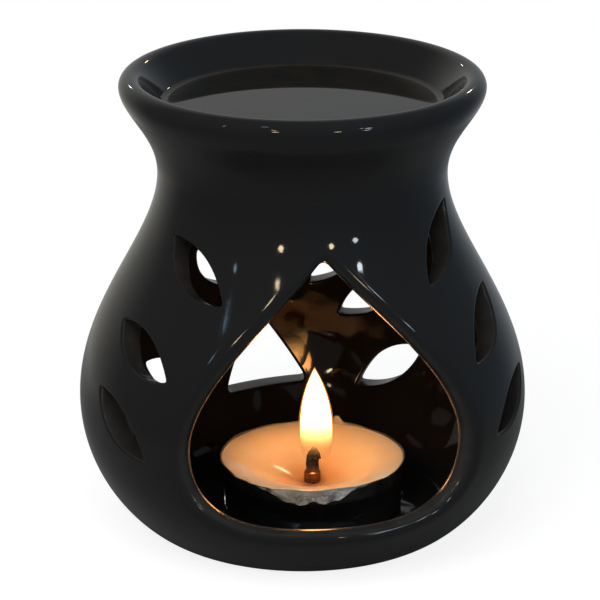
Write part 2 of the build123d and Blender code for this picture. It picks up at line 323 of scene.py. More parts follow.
def wall_face(section, cuts, turned_in):
    """One face of the cut wall as points, triangles and each point's nearness to a cut.

    Every cut, an outline with its lean and its edge e, is ringed by rows of points, and a grid of points
    fills the wall between the rings. The edge is a quarter round: at a distance e (1 - cos a) from the cut,
    the face is drawn e (1 - sin a) along the knife's line into the wall.
    """
    quarter = np.linspace(0, math.pi / 2, EDGE_STEPS + 1)
    columns = np.linspace(WALL_SEAM - 2 * math.pi, WALL_SEAM, WALL_COLUMNS + 1)
    rows = np.linspace(WALL_LOW, WALL_HIGH, WALL_ROWS + 1)
    grid = np.stack(np.meshgrid(columns, rows), axis=-1).reshape(-1, 2)
    free = np.ones(len(grid), bool)
    ring_sets, draws, nearness = [], [], []
    for outline, lean, edge in cuts:
        reach = np.append(1 - np.cos(quarter), OUTER_RINGS)[:, None]
        depth = np.append(1 - np.sin(quarter), [0] * len(OUTER_RINGS))[:, None] * edge
        ring_sets.append(rings_round(outline, section, reach * edge))
        draws.append((depth[..., None] * knife_line(lean)).reshape(-1, 2))
        nearness.append(np.repeat(1 - reach / reach[-1], len(outline)))
        free &= ~within(grid, rings_round(outline, section, reach[-1:] * edge + GRID_CLEARANCE)[0])
    grid = grid[free]
    flat = np.concatenate([grid, *[rings.reshape(-1, 2) for rings in ring_sets]])
    draw = turned_in * np.concatenate([np.zeros((len(grid), 2)), *draws])
    near = np.concatenate([np.zeros(len(grid)), *nearness])
    used, bounds, ring_faces = [np.arange(len(grid))], [], []
    start, count = len(grid), len(grid)
    for rings in ring_sets:
        rows_here, columns_here = rings.shape[:2]
        ring_faces.append(halves(strip_faces(rows_here, columns_here, True)) + start)
        used.append(start + (rows_here - 1) * columns_here + np.arange(columns_here))
        loop = count + np.arange(columns_here)
        bounds.append(np.stack([loop, np.roll(loop, -1)], axis=1))
        start += rows_here * columns_here
        count += columns_here
    used = np.concatenate(used)
    plan = [Vector(point) for point in (flat[used] * (PLAN_SCALE * BELLY_RADIUS, PLAN_SCALE)).tolist()]
    made = delaunay_2d_cdt(plan, np.concatenate(bounds).tolist(), [], 0, PLAN_TOLERANCE, True)
    origin = np.array([ids[0] for ids in made[3]])
    faces = used[origin[np.array(made[2])]]
    middles = flat[faces].mean(axis=1)
    for rings in ring_sets:
        outside = ~within(middles, rings[-1])
        faces, middles = faces[outside], middles[outside]
    radius = section_radius(section, flat[:, 1]) + draw[:, 0]
    return on_turn(flat[:, 0], radius, flat[:, 1] + draw[:, 1]), np.concatenate([faces, *ring_faces]), near


def turned_band(path):
    """Points and triangles of a path of radius and level, carried round the axis on the grid's columns."""
    path = np.asarray(path)
    azimuth = np.linspace(WALL_SEAM - 2 * math.pi, WALL_SEAM, WALL_COLUMNS + 1)
    points = on_turn(azimuth[None, :], path[:, :1], path[:, 1:])
    return points.reshape(-1, 3), halves(strip_faces(len(path), len(azimuth), False))


def welded(parts):
    """Joins points and triangles into one mesh: points in one place become one, flat faces are dropped."""
    points = np.concatenate([part[0] for part in parts])
    near = np.concatenate([part[2] if len(part) > 2 else np.zeros(len(part[0])) for part in parts])
    offsets = np.cumsum([0] + [len(part[0]) for part in parts[:-1]])
    faces = np.concatenate([part[1] + offset for part, offset in zip(parts, offsets)])
    _, first, same = np.unique(np.round(points, MERGE_DIGITS), axis=0, return_index=True, return_inverse=True)
    faces = same.reshape(-1)[faces]
    solid = (faces[:, 0] != faces[:, 1]) & (faces[:, 1] != faces[:, 2]) & (faces[:, 2] != faces[:, 0])
    return points[first], faces[solid], near[first]


def mesh_piece(name, points, faces, sharp_angle=50):
    """Object at the origin with a smooth-shaded mesh whose faces all point outwards."""
    mesh = bpy.data.meshes.new(name)
    mesh.from_pydata(points.tolist(), [], faces.tolist())
    work = bmesh.new()
    work.from_mesh(mesh)
    bmesh.ops.recalc_face_normals(work, faces=work.faces)
    if work.calc_volume(signed=True) < 0:
        bmesh.ops.reverse_faces(work, faces=work.faces)
    work.to_mesh(mesh)
    work.free()
    mesh.shade_smooth()
    mesh.set_sharp_from_angle(angle=math.radians(sharp_angle))
    piece = bpy.data.objects.new(name, mesh)
    bpy.context.scene.collection.objects.link(piece)
    return piece


outer_section = belly_section(0, FOOT_RADIUS, 0)
inner_section = belly_section(WALL, FLOOR_RADIUS, FLOOR_LEVEL)


def before_seam(outline):
    """Outline moved back by a whole turn if it starts beyond the wall grid's seam."""
    return outline - (2 * math.pi * (outline[0, 0] > WALL_SEAM), 0)


def on_chamber(opening, inner_edge):
    """The same opening on the chamber's wall: its outline there, its lean and its inner edge."""
    outline, lean, _ = opening
    return through_wall(outline, lean), lean, np.full(len(outline), inner_edge)


arch = arch_outline()
small_cuts = [(vent_outline(), 0)]
small_cuts += [(leaf_outline(*leaf), square_lean(leaf[1])) for leaf in FRONT_LEAVES]
small_cuts += [(leaf_outline(*leaf), 0) for leaf in BACK_LEAVES]
openings = [(arch, arch_lean(arch[:, 1]), arch_edge(arch[:, 1]))]
for cut_outline, cut_lean in small_cuts:
    lean_round = np.full(len(cut_outline), cut_lean)
    openings.append((before_seam(cut_outline), lean_round, np.full(len(cut_outline), LEAF_EDGE)))
inner_edges = [ARCH_INNER_EDGE] + [LEAF_INNER_EDGE] * len(small_cuts)
chamber_cuts = [on_chamber(*cut) for cut in zip(openings, inner_edges)]


def cut_face(outer_cut, inner_cut):
    """Face of a cut through the wall: straight lines between the feet of its outer and its inner round."""
    ends = []
    for section, cut, turned_in in ((outer_section, outer_cut, 1), (inner_section, inner_cut, -1)):
        outline, lean, edge = cut
        foot = np.stack([section_radius(section, outline[:, 1]), outline[:, 1]], axis=1)
        ends.append(foot + turned_in * edge[:, None] * knife_line(lean))
    share = np.linspace(0, 1, CUT_STEPS + 1)[:, None, None]
    path = ends[0] + share * (ends[1] - ends[0])
    points = on_turn(outer_cut[0][:, 0], path[..., 0], path[..., 1])
    faces = halves(strip_faces(*points.shape[:2], True))
    return points.reshape(-1, 3), faces, np.ones(points.shape[0] * points.shape[1])


def rim_round(turn):
    """Points of the rim's round as radius and level, at each turn from its outside."""
    middle = np.array([RIM_RADIUS - RIM_ROUND, RIM_LEVEL])
    return middle + RIM_ROUND * np.stack([np.cos(turn), np.sin(turn)], axis=-1)


def dish_hollow(count):
    """Half section of the dish's hollow: one cubic, straight on from the rim's round, level at its floor."""
    lip_end = rim_round(RIM_TURN)
    slope = np.array([-math.sin(RIM_TURN), math.cos(RIM_TURN)])
    return bezier([
        lip_end,
        lip_end + DISH_SLOPE_RUN * slope,
        (DISH_FLOOR_RADIUS + DISH_FLOOR_EASE * (lip_end[0] - DISH_FLOOR_RADIUS), DISH_FLOOR_LEVEL),
        (DISH_FLOOR_RADIUS, DISH_FLOOR_LEVEL),
    ], count)


def pot_top():
    """Path over the neck: out to the rim, over its round, down the hollow to the seat and the ledge."""
    flare = RIM_LEVEL - NECK_LEVEL
    to_rim = bezier([
        (NECK_RADIUS, NECK_LEVEL),
        (NECK_RADIUS, NECK_LEVEL + OVER_NECK_EASE * flare),
        (RIM_RADIUS, RIM_LEVEL - UNDER_RIM_EASE * flare),
        (RIM_RADIUS, RIM_LEVEL),
    ], count=22)
    lip = rim_round(np.linspace(0, RIM_TURN, 15))
    hollow = dish_hollow(count=60)
    hollow = hollow[hollow[:, 0] > SEAT_RADIUS]
    seat = [(SEAT_RADIUS, hollow[-1, 1]), (SEAT_RADIUS, LEDGE_LEVEL), (CHAMBER_NECK_RADIUS, LEDGE_LEVEL)]
    start = [(section_radius(outer_section, WALL_HIGH), WALL_HIGH)]
    end = [(CHAMBER_NECK_RADIUS, NECK_LEVEL), (section_radius(inner_section, WALL_HIGH), WALL_HIGH)]
    return np.concatenate([start, to_rim, lip[1:], hollow[1::2], seat, end])


def below_wall(section):
    """Path from the wall's lowest row down a half section to its foot circle and in to the axis."""
    low = section[section[:, 1] < WALL_LOW - 1e-4][::-8]
    foot_radius, foot_level = section[0]
    inward = [(foot_radius * share, foot_level) for share in (1, 0.85, 0.6, 0.3, 0)]
    return np.concatenate([[(section_radius(section, WALL_LOW), WALL_LOW)], low[:-1], inward])


def mark_points(piece, name, values):
    """Keeps one number for each point of a piece in an attribute that its material reads."""
    attribute = piece.data.attributes.new(name, "FLOAT", "POINT")
    attribute.data.foreach_set("value", values.astype(np.float32))


pot_points, pot_faces, pot_near = welded([
    wall_face(outer_section, openings, 1),
    wall_face(inner_section, chamber_cuts, -1),
    *[cut_face(*cuts) for cuts in zip(openings, chamber_cuts)],
    turned_band(pot_top()),
    turned_band(below_wall(outer_section)),
    turned_band(below_wall(inner_section)),
])
pot_depth = section_radius(outer_section, pot_points[:, 2]) - np.hypot(pot_points[:, 0], pot_points[:, 1])
pot_inside = np.clip(pot_depth / WALL, 0, 1) * (pot_points[:, 2] < NECK_LEVEL)
pot = mesh_piece("glazed_pot", pot_points, pot_faces)
mark_points(pot, "cut_edge", pot_near)
mark_points(pot, "inside", pot_inside)

NOISE_RANGE = (0.3, 0.7)


def new_material(name):
    """Material with one Principled shader; returns it, its nodes, a linking function and the shader."""
    material = bpy.data.materials.new(name)
    material.use_nodes = True
    nodes = material.node_tree.nodes
    return material, nodes, material.node_tree.links.new, nodes["Principled BSDF"]


def mottle_group():
    """Shared effect: soft noise on Object coordinates, spread between a low and a high value."""
    group = bpy.data.node_groups.new("mottle", "ShaderNodeTree")
    for name, value in (("Scale", 100.0), ("Detail", 3.0), ("Low", 0.0), ("High", 1.0)):
        socket = group.interface.new_socket(name, in_out="INPUT", socket_type="NodeSocketFloat")
        socket.default_value = value
    group.interface.new_socket("Value", in_out="OUTPUT", socket_type="NodeSocketFloat")
    nodes, link = group.nodes, group.links.new
    given, result = nodes.new("NodeGroupInput"), nodes.new("NodeGroupOutput")
    place = nodes.new("ShaderNodeTexCoord")
    noise = nodes.new("ShaderNodeTexNoise")
    spread = nodes.new("ShaderNodeMapRange")
    spread.inputs["From Min"].default_value = NOISE_RANGE[0]
    spread.inputs["From Max"].default_value = NOISE_RANGE[1]
    link(place.outputs["Object"], noise.inputs["Vector"])
    link(given.outputs["Scale"], noise.inputs["Scale"])
    link(given.outputs["Detail"], noise.inputs["Detail"])
    link(noise.outputs["Fac"], spread.inputs["Value"])
    link(given.outputs["Low"], spread.inputs["To Min"])
    link(given.outputs["High"], spread.inputs["To Max"])
    link(spread.outputs["Result"], result.inputs["Value"])
    return group


mottle_effect = mottle_group()


def mottle(nodes, scale, low=0.0, high=1.0, detail=3.0):
    """Places the mottle effect in a material with its own values; returns its output."""
    node = nodes.new("ShaderNodeGroup")
    node.node_tree = mottle_effect
    for name, value in (("Scale", scale), ("Detail", detail), ("Low", low), ("High", high)):
        node.inputs[name].default_value = value
    return node.outputs["Value"]


def mixed(nodes, link, share, first, second):
    """Colour between two, by a share; each is a colour or a socket."""
    node = nodes.new("ShaderNodeMix")
    node.data_type = "RGBA"
    link(share, node.inputs["Factor"])
    for socket, value in ((node.inputs["A"], first), (node.inputs["B"], second)):
        if isinstance(value, tuple):
            socket.default_value = (*value, 1)
        else:
            link(value, socket)
    return node.outputs["Result"]


def figured(nodes, link, operation, first, second):
    """Result of a Math node; each term is a number or a socket."""
    node = nodes.new("ShaderNodeMath")
    node.operation = operation
    for socket, value in zip(node.inputs, (first, second)):
        if isinstance(value, (int, float)):
            socket.default_value = value
        else:
            link(value, socket)
    return node.outputs["Value"]


def bumped(nodes, link, height, distance, before=None):
    """Normal raised by a height socket, in metres at full height, on top of another normal."""
    node = nodes.new("ShaderNodeBump")
    node.inputs["Distance"].default_value = distance
    link(height, node.inputs["Height"])
    if before:
        link(before, node.inputs["Normal"])
    return node.outputs["Normal"]


def marked(nodes, name):
    """Number that mark_points kept for each point."""
    node = nodes.new("ShaderNodeAttribute")
    node.attribute_name = name
    return node.outputs["Fac"]


def grown_between(nodes, link, value, low, high):
    """0 where a value is below low, 1 where it is above high, smooth between."""
    node = nodes.new("ShaderNodeMapRange")
    node.interpolation_type = "SMOOTHSTEP"
    node.inputs["From Min"].default_value = low
    node.inputs["From Max"].default_value = high
    link(value, node.inputs["Value"])
    return node.outputs["Result"]


def level_step(nodes, link, low, high):
    """0 below a level and 1 above another, from the Object coordinate Z."""
    place = nodes.new("ShaderNodeTexCoord")
    split = nodes.new("ShaderNodeSeparateXYZ")
    link(place.outputs["Object"], split.inputs["Vector"])
    return grown_between(nodes, link, split.outputs["Z"], low, high)


def distance_step(nodes, link, point, low, high):
    """0 nearer to a point than low and 1 farther than high, from Object coordinates."""
    place = nodes.new("ShaderNodeTexCoord")
    away = nodes.new("ShaderNodeVectorMath")
    away.operation = "DISTANCE"
    away.inputs[1].default_value = point
    link(place.outputs["Object"], away.inputs[0])
    return grown_between(nodes, link, away.outputs["Value"], low, high)


GLAZE_BLACK = (0.012, 0.012, 0.0125)
# Colour on the cuts: thinner glaze, made lighter as well as painted light on the cut faces, which lie in
# shade.
GLAZE_THIN_AND_LIT = (0.034, 0.032, 0.030)
GLAZE_GLOSS = (0.035, 0.085)
GLAZE_IOR = 1.42
GLAZE_LINE = (0.0002, 0.0005)
CUT_NEARNESS = (0.75, 1.0)
CUT_SATIN = 0.14
NECK_STEP = (NECK_LEVEL - 0.002, NECK_LEVEL + 0.004)
LIP_STEP = (RIM_LEVEL - 0.005, RIM_LEVEL - 0.002)
NECK_SATIN = 0.25
WAVE_HEIGHT = 0.00003
RUN_HEIGHT = 0.00016
PEEL_HEIGHT = 0.0000025
CLAY_PALE = (0.58, 0.50, 0.41)
CLAY_DARK = (0.50, 0.42, 0.33)
CLAY_ROUGHNESS = 0.85


def black_glaze():
    """Black gloss glaze: faintly wavy, in runs inside, satin on the neck, wiped off the foot.

    On the cuts it is thinner and drier, and lighter and browner, partly as painted light that lifts the
    shaded cut faces.
    """
    material, nodes, link, shader = new_material("black_gloss_glaze")
    cut = grown_between(nodes, link, marked(nodes, "cut_edge"), *CUT_NEARNESS)
    # Lighter and browner towards the cuts: thinner glaze there, and painted light on the shaded cut faces.
    thin_and_lit = figured(nodes, link, "MULTIPLY", cut, mottle(nodes, 260, low=0.4))
    glazed = level_step(nodes, link, *GLAZE_LINE)
    colour = mixed(nodes, link, thin_and_lit, GLAZE_BLACK, GLAZE_THIN_AND_LIT)
    clay = mixed(nodes, link, mottle(nodes, 900), CLAY_PALE, CLAY_DARK)
    link(mixed(nodes, link, glazed, clay, colour), shader.inputs["Base Color"])
    above_neck = level_step(nodes, link, *NECK_STEP)
    neck = figured(nodes, link, "SUBTRACT", above_neck, level_step(nodes, link, *LIP_STEP))
    gloss = mottle(nodes, 70, *GLAZE_GLOSS)
    for place, satin in ((neck, NECK_SATIN), (cut, CUT_SATIN)):
        gloss = figured(nodes, link, "ADD", gloss, figured(nodes, link, "MULTIPLY", place, satin))
    roughness = nodes.new("ShaderNodeMix")
    roughness.inputs["A"].default_value = CLAY_ROUGHNESS
    link(glazed, roughness.inputs["Factor"])
    link(gloss, roughness.inputs["B"])
    link(roughness.outputs["Result"], shader.inputs["Roughness"])
    shader.inputs["IOR"].default_value = GLAZE_IOR
    normal = bumped(nodes, link, mottle(nodes, 95, detail=1.0), WAVE_HEIGHT)
    runs = figured(nodes, link, "MULTIPLY", marked(nodes, "inside"), mottle(nodes, 110, detail=1.0))
    normal = bumped(nodes, link, runs, RUN_HEIGHT, normal)
    normal = bumped(nodes, link, mottle(nodes, 700, detail=2.0), PEEL_HEIGHT, normal)
    link(normal, shader.inputs["Normal"])
    return material


glaze = black_glaze()
pot.data.materials.append(glaze)
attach(pot, "burner")
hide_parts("pot")

# Oil dish: a saucer of the same clay as the pot. It is luted onto the ledge in the neck before glazing,
# so the one glaze runs across the joint.

oil_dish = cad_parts["oil_dish"]
oil_dish.data.materials.clear()
oil_dish.data.materials.append(glaze)

# Water with a few drops of oil in it, standing in the dish to about 6 mm below the lip.
# Its surface is flat and climbs the glaze a little all round.

LIQUID_LEVEL = 0.0887
MENISCUS_RISE = 0.0007
MENISCUS_REACH = 0.0011
GLAZE_CLEARANCE = 0.00006
WATER_BLACK = (0.010, 0.010, 0.010)
OIL_YELLOW = (0.018, 0.015, 0.009)
WATER_ROUGHNESS = 0.02
WATER_IOR = 1.34


def liquid_body():
    """Body of revolution: a level surface that climbs its edge by exp(-distance from the wall / reach)."""
    hollow = dish_hollow(count=80)[::-1]
    hollow = hollow[hollow[:, 1] < LIQUID_LEVEL + MENISCUS_RISE]
    edge_radius = hollow[-1, 0] - GLAZE_CLEARANCE
    radius = edge_radius * np.sin(np.linspace(0, math.pi / 2, 40))
    level = LIQUID_LEVEL + MENISCUS_RISE * np.exp(-(edge_radius - radius) / MENISCUS_REACH)
    surface = np.stack([radius, level], axis=1)
    under = np.concatenate([[(0, DISH_FLOOR_LEVEL)], hollow]) + (-GLAZE_CLEARANCE, GLAZE_CLEARANCE)
    under[:, 0] = np.maximum(under[:, 0], 0)
    path = np.concatenate([surface[:-1], [(edge_radius, level[-1])], under[::-1][1:]])
    return welded([turned_band(path)])[:2]


def water():
    """Dark water over black glaze: a still mirror, faintly yellow where oil floats on it."""
    material, nodes, link, shader = new_material("oiled_water")
    link(mixed(nodes, link, mottle(nodes, 180), WATER_BLACK, OIL_YELLOW), shader.inputs["Base Color"])
    shader.inputs["Roughness"].default_value = WATER_ROUGHNESS
    shader.inputs["IOR"].default_value = WATER_IOR
    return material


liquid = mesh_piece("water_and_oil", *liquid_body())
liquid.data.materials.append(water())
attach(liquid, "burner")

# Foil cup of the tea light: soft aluminium, pressed thin into a cup that stands loose on the pot's floor.
# Its edge is turned out and down in a ragged skirt at the front, and bent where it was gripped.

cup_low, cup_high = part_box("tealight_cup")
CUP_X, CUP_Y = (cup_low.x + cup_high.x) / 2, (cup_low.y + cup_high.y) / 2
CUP_FLOOR = cup_low.z
CUP_HEIGHT = cup_high.z - cup_low.z
CUP_LIP_RADIUS = (cup_high.x - cup_low.x) / 2
CUP_WALL_RADIUS = CUP_LIP_RADIUS - 0.0006
CUP_CORNER = 0.0012
CUP_COLUMNS = 240
FOIL = 0.00012
WALL_TOP_DROP = 0.0002
WALL_DENT = 0.00007
LIP_WAVES = (0.00012, 0.00008)
TAB_MIDDLE = math.radians(156)
TAB_SPAN = 0.055
TAB_HEIGHT = 0.0014
PULL_MIDDLE = math.radians(-47)
PULL_SPAN = 0.30
PULL_REACH = 0.0010
SKIRT_MIDDLE = math.radians(-9)
SKIRT_SPAN = 0.40
SKIRT_DROP = (0.0003, 0.0026)
SKIRT_FLARE = 0.28
SKIRT_CREASE = 0.00016
FOIL_BRIGHT = (0.56, 0.55, 0.54)
FOIL_DULL = (0.40, 0.39, 0.39)
FOIL_ROUGHNESS = 0.10
FOIL_DULLING = (0.16, 0.34)
CREASED_STEP = (CUP_FLOOR + CUP_HEIGHT - 0.0045, CUP_FLOOR + CUP_HEIGHT - 0.0025)
CREASE_HEIGHT = 0.00004


def crumple(azimuth, level):
    """Creased foil, from -1 to 1: ridges made by folded sine waves that lean across each other."""
    first = np.abs(np.sin(4.5 * azimuth + 260 * level + 0.4)) - 0.6
    second = np.abs(np.sin(8.5 * azimuth - 420 * level + 1.9)) - 0.6
    third = np.abs(np.sin(15.5 * azimuth + 700 * level + 2.6)) - 0.6
    return (first + 0.7 * second + 0.5 * third) / 1.3


def ragged(azimuth):
    """Torn edge, from 0 to about 0.8: two folded sine waves."""
    return np.abs(np.sin(6.5 * azimuth + 0.7)) * 0.5 + np.abs(np.sin(14.5 * azimuth + 2.1)) * 0.35


def stretch_of_lip(azimuth, middle, span):
    """1 along a stretch of the lip and 0 off it: exp(-(angle from its middle / span) ** 4)."""
    away = (azimuth - middle + math.pi) % (2 * math.pi) - math.pi
    return np.exp(-(away / span) ** 4)


def skirt_drop(azimuth):
    """How far the turned-down edge hangs: widest at the front, ragged all round."""
    front = stretch_of_lip(azimuth, SKIRT_MIDDLE, SKIRT_SPAN)
    return SKIRT_DROP[0] + SKIRT_DROP[1] * front * (0.55 + 0.6 * ragged(azimuth))


def lip_pull(azimuth):
    """How far the edge is bent outwards at the left of the front, where the cup was gripped."""
    left = stretch_of_lip(azimuth, PULL_MIDDLE, PULL_SPAN)
    return PULL_REACH * left * (0.45 + 0.7 * ragged(1.7 * azimuth))


def lip_lift(azimuth):
    """Uneven top edge: a slow and a quick sine wave, and one torn tab that stands up at the back."""
    waves = LIP_WAVES[0] * np.sin(5 * azimuth + 0.3) + LIP_WAVES[1] * np.sin(13 * azimuth)
    return waves + TAB_HEIGHT * stretch_of_lip(azimuth, TAB_MIDDLE, TAB_SPAN)


def set_in_tealight(radius, level, azimuth):
    """Points of a piece of the tea light from radius, level above the cup's floor and azimuth."""
    return on_turn(azimuth, radius, CUP_FLOOR + level) + np.array([CUP_X, CUP_Y, 0])


def stacked_rows(rows, azimuth):
    """Points of a piece of the tea light from rows of radius and level, each carried round all azimuths."""
    spread = [np.broadcast_arrays(radius, level, azimuth) for radius, level in rows]
    return set_in_tealight(*[np.concatenate(grids) for grids in zip(*spread)])


def closed_skin(points):
    """Points and triangles of a grid of points whose last column joins its first, welded at its poles."""
    faces = halves(strip_faces(*points.shape[:2], True))
    return welded([(points.reshape(-1, 3), faces)])[:2]


def round_turn(count):
    """Azimuths of one whole turn, as a row."""
    return np.linspace(0, 2 * math.pi, count, endpoint=False)[None, :]


def foil_cup():
    """Cup as a closed sheet: floor, corner and wall outside, skirt, lip, then wall and floor inside.

    The wall flares to the lip by the sixth power of its climb, and the skirt falls straight from the lip.
    """
    azimuth = round_turn(CUP_COLUMNS)
    lip = CUP_HEIGHT + lip_lift(azimuth)
    lip_radius = CUP_LIP_RADIUS + lip_pull(azimuth)
    drop = skirt_drop(azimuth)
    quarter = np.linspace(0, math.pi / 2, 6)[:, None]
    corner_middle = CUP_WALL_RADIUS - CUP_CORNER
    inner_corner = CUP_CORNER - FOIL
    climb = np.linspace(0, 1, 14)[:, None]
    level = CUP_CORNER + climb * (lip - WALL_TOP_DROP - CUP_CORNER)
    dent = WALL_DENT * climb * crumple(azimuth, level)
    wall_out = CUP_WALL_RADIUS + (lip_radius - FOIL - CUP_WALL_RADIUS) * climb ** 6 + dent
    wall_in = wall_out - FOIL
    skirt = np.linspace(0, 1, 6)[:, None]
    skirt_crease = SKIRT_CREASE * crumple(azimuth * 1.3 + 1, 0.004 * skirt) * skirt
    skirt_radius = lip_radius + SKIRT_FLARE * drop * skirt + skirt_crease
    skirt_level = lip - drop * skirt
    out_floor = np.linspace(0, 1, 5)[:, None] * corner_middle
    in_floor = np.linspace(1, 0, 9)[:, None] * corner_middle
    return stacked_rows([
        (out_floor, 0),
        (corner_middle + CUP_CORNER * np.sin(quarter), CUP_CORNER * (1 - np.cos(quarter))),
        (wall_out[1:], level[1:]),
        (skirt_radius[::-1] - FOIL, skirt_level[::-1] - FOIL),
        (skirt_radius, skirt_level),
        (wall_in[:0:-1], level[:0:-1]),
        (corner_middle + inner_corner * np.cos(quarter), CUP_CORNER - inner_corner * np.sin(quarter)),
        (in_floor, FOIL),
    ], azimuth)


def foil():
    """Soft aluminium foil: pressed smooth up the wall, dulled and creased at the lip."""
    material, nodes, link, shader = new_material("crinkled_foil")
    creased = level_step(nodes, link, *CREASED_STEP)
    link(mixed(nodes, link, mottle(nodes, 400), FOIL_BRIGHT, FOIL_DULL), shader.inputs["Base Color"])
    shader.inputs["Metallic"].default_value = 1.0
    dulled = figured(nodes, link, "MULTIPLY", creased, mottle(nodes, 300, *FOIL_DULLING))
    link(figured(nodes, link, "ADD", dulled, FOIL_ROUGHNESS), shader.inputs["Roughness"])
    crease = figured(nodes, link, "MULTIPLY", creased, mottle(nodes, 1300, detail=4.0))
    link(bumped(nodes, link, crease, CREASE_HEIGHT), shader.inputs["Normal"])
    return material


cup = mesh_piece("foil_cup", *closed_skin(foil_cup()), sharp_angle=35)
cup.data.materials.append(foil())
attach(cup, "tealight")
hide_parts("tealight_cup")

# Wick sustainer: a pressed disc of tinned steel that lies on the cup's floor under the wax. Its middle is
# drawn up into a collar, which is crimped on the wick.

SUSTAINER_RADIUS = 0.0075
SUSTAINER_LIFT = 2.5 * FOIL
PLATE = 0.0003
STIFFENING = 0.0003
COLLAR_RADIUS = 0.0017
COLLAR_BORE = 0.0011
COLLAR_HEIGHT = 0.0071
COLLAR_ROUND = 0.0001
CRIMPS = 6
CRIMP_LEVEL = 0.0058
CRIMP_REACH = 0.0009
CRIMP_DEPTH = 0.00018
TIN_STAINED = (0.26, 0.17, 0.10)
TIN_DARK = (0.15, 0.09, 0.05)
TIN_ROUGHNESS = (0.25, 0.45)


def crimped_collar():
    """Disc with a stiffening ring and a fluted collar, whose radius dips as cos(crimps * azimuth)."""
    bore = [(COLLAR_BORE, level) for level in (PLATE, 0.004, COLLAR_HEIGHT)]
    lip = [((COLLAR_BORE + COLLAR_RADIUS) / 2, COLLAR_HEIGHT + COLLAR_ROUND)]
    down = (COLLAR_HEIGHT - COLLAR_ROUND, 0.0066, CRIMP_LEVEL, 0.005, 0.0035, 0.0015)
    outside = [(COLLAR_RADIUS, level) for level in down]
    ring = [(0.0019, 0.0007), (0.0024, PLATE), (0.0038, PLATE), (0.0046, PLATE + STIFFENING), (0.0054, PLATE)]
    under = [(SUSTAINER_RADIUS, PLATE), (SUSTAINER_RADIUS, 0), (COLLAR_BORE, 0)]
    path = np.array(bore + lip + outside + ring + under + bore[:1])
    azimuth = round_turn(96)
    radius, level = path[:, :1], path[:, 1:]
    gripped = np.exp(-((level - CRIMP_LEVEL) / CRIMP_REACH) ** 2) * (radius > COLLAR_BORE)
    radius = radius - CRIMP_DEPTH * gripped * (0.5 + 0.5 * np.cos(CRIMPS * azimuth))
    return set_in_tealight(radius, level + SUSTAINER_LIFT, azimuth)


def tinned_steel():
    """Tinned steel: bright metal gone brown and dull in patches from the heat."""
    material, nodes, link, shader = new_material("heat_stained_tin")
    link(mixed(nodes, link, mottle(nodes, 350), TIN_STAINED, TIN_DARK), shader.inputs["Base Color"])
    shader.inputs["Metallic"].default_value = 1.0
    link(mottle(nodes, 800, *TIN_ROUGHNESS), shader.inputs["Roughness"])
    return material


sustainer = mesh_piece("crimped_sustainer", *closed_skin(crimped_collar()), sharp_angle=35)
sustainer.data.materials.append(tinned_steel())
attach(sustainer, "tealight")
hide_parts("wick_sustainer")

# Wax: paraffin cast in the cup round the wick. The flame has melted it clear, and it lies lower round the
# collar than at the foil, where it clings up to the lip.

WAX_EDGE = CUP_HEIGHT - 0.0003
WAX_MIDDLE = 0.0050
WAX_RADIUS = CUP_WALL_RADIUS - FOIL - 0.0001
WAX_LIP_RADIUS = CUP_LIP_RADIUS - 0.0003
WAX_SHOULDER = CUP_HEIGHT - 0.002
WAX_FLOOR = 3 * FOIL
WAX_RIPPLE = 0.00025
# Colour round the wick: clear wax, darkened as well as a painted shadow of the collar and wick.
WAX_CLEAR_AND_SHADED = (0.32, 0.16, 0.07)
WAX_MILKY = (0.90, 0.74, 0.52)
WAX_HONEY = (0.86, 0.69, 0.46)
SHADE_TO_MILKY_REACH = (0.001, 0.014)
WAX_ROUGHNESS = (0.06, 0.15)
WAX_IOR = 1.44
WAX_GLOW = 0.35
WAX_GLOW_RADIUS = (1.0, 0.5, 0.25)
WAX_GLOW_DEPTH = 0.003


def wax_body():
    """Wax as a shallow bowl: level rises from the middle to the edge as a smooth step of the radius."""
    azimuth = round_turn(160)
    share = np.linspace(0, 1, 40)[:, None]
    rise = share ** 2 * (3 - 2 * share)
    ripple = WAX_RIPPLE * share * np.sin(3 * azimuth + 1) * np.sin(6 * share)
    level = WAX_MIDDLE + (WAX_EDGE - WAX_MIDDLE) * rise + ripple
    quarter = np.linspace(0, math.pi / 2, 6)[:, None]
    corner = CUP_CORNER - FOIL
    return stacked_rows([
        (share * (WAX_LIP_RADIUS + lip_pull(azimuth) * share ** 4), level),
        (np.full((1, 1), WAX_RADIUS), WAX_SHOULDER),
        (WAX_RADIUS - corner * (1 - np.cos(quarter)), WAX_FLOOR + corner * (1 - np.sin(quarter))),
        (np.linspace(1, 0, 5)[:, None] * (WAX_RADIUS - corner), WAX_FLOOR),
    ], azimuth)


def wax():
    """Paraffin wax, wet on top, that lets light through: clear round the wick and darkened there by painted
    shadow; cloudy at the foil.
    """
    material, nodes, link, shader = new_material("molten_paraffin")
    # Darker towards the wick: clear molten wax, and a painted shadow of the collar and wick on it.
    milky_unshaded = distance_step(nodes, link, (CUP_X, CUP_Y, CUP_FLOOR + WAX_MIDDLE), *SHADE_TO_MILKY_REACH)
    milk = mixed(nodes, link, mottle(nodes, 220), WAX_MILKY, WAX_HONEY)
    link(mixed(nodes, link, milky_unshaded, WAX_CLEAR_AND_SHADED, milk), shader.inputs["Base Color"])
    link(mottle(nodes, 150, *WAX_ROUGHNESS), shader.inputs["Roughness"])
    shader.inputs["IOR"].default_value = WAX_IOR
    shader.inputs["Subsurface Weight"].default_value = WAX_GLOW
    shader.inputs["Subsurface Radius"].default_value = WAX_GLOW_RADIUS
    shader.inputs["Subsurface Scale"].default_value = WAX_GLOW_DEPTH
    return material


wax_piece = mesh_piece("melted_wax", *closed_skin(wax_body()))
wax_piece.data.materials.append(wax())
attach(wax_piece, "tealight")
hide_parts("tealight_wax")

# Wick: a cotton braid that the collar holds upright. It is soaked in wax where it leaves the collar
# and burnt to a bent black end above.

